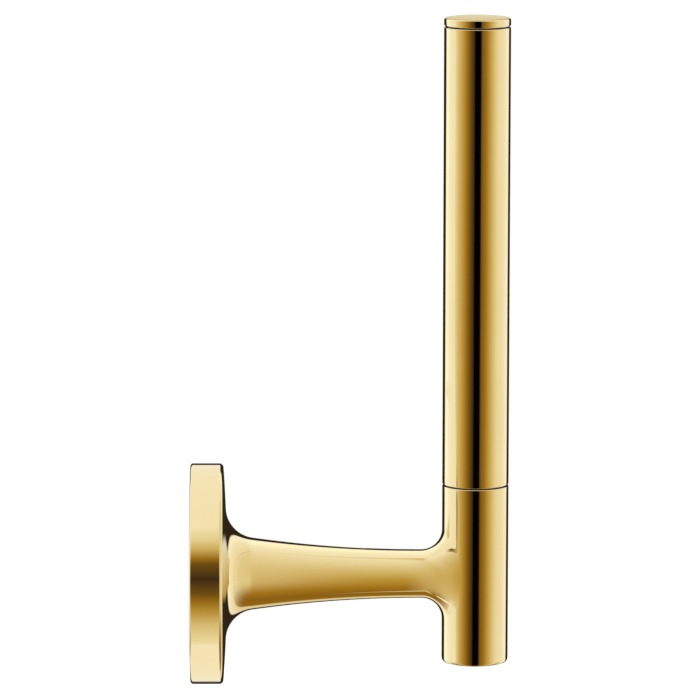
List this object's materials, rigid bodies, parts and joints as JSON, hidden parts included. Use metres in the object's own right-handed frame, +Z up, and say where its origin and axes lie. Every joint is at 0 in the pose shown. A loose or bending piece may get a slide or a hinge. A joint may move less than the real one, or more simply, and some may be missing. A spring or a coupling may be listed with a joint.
{
  "type": "toilet paper holder",
  "caption": "Wall-mounted upright holder for a spare toilet roll: round rosette, flared horn arm and a tall closed post that screws onto the arm's socket.",
  "frame": {"origin": "centre of the rosette's back, on the wall", "axes": "+X points out of the wall along the arm, +Z is up along the post, +Y is sideways"},
  "size_m": [0.072, 0.05, 0.1515],
  "materials": {
    "polished_gold": "mirror polished with a gold-coloured vacuum coating",
    "bracket_steel": "turned stainless steel",
    "screw_steel": "plain stainless steel",
    "turned_brass": "as turned",
    "black_nylon": "matt",
    "black_rubber": "matt"
  },
  "bodies": {
    "holder": {"arm_casting": "polished_gold", "wall_bracket": "bracket_steel", "post_stud": "screw_steel"},
    "foot_washer": {"foot_washer": "black_nylon"},
    "post": {"foot_bush": "turned_brass", "post_tube": "polished_gold", "post_cap": "polished_gold", "cap_o_ring": "black_rubber"},
    "grub_screw": {"grub_screw": "screw_steel"}
  },
  "joints": [
    {"name": "post_rise", "type": "slide", "parent": "holder", "child": "foot_washer", "axis": [0, 0, 1], "range_m": [0, 0.0075]},
    {"name": "post_turn", "type": "hinge", "parent": "foot_washer", "child": "post", "pos_m": [0.0645, 0, 0.02075], "axis": [0, 0, 1], "range_deg": [0, 2160]},
    {"name": "grub_travel", "type": "slide", "parent": "holder", "child": "grub_screw", "axis": [0, 0, -1], "range_m": [0, 0.0021]}
  ],
  "couplings": [
    {"joint": "post_turn", "follows": "post_rise", "rad_per_m": 5026.5}
  ]
}
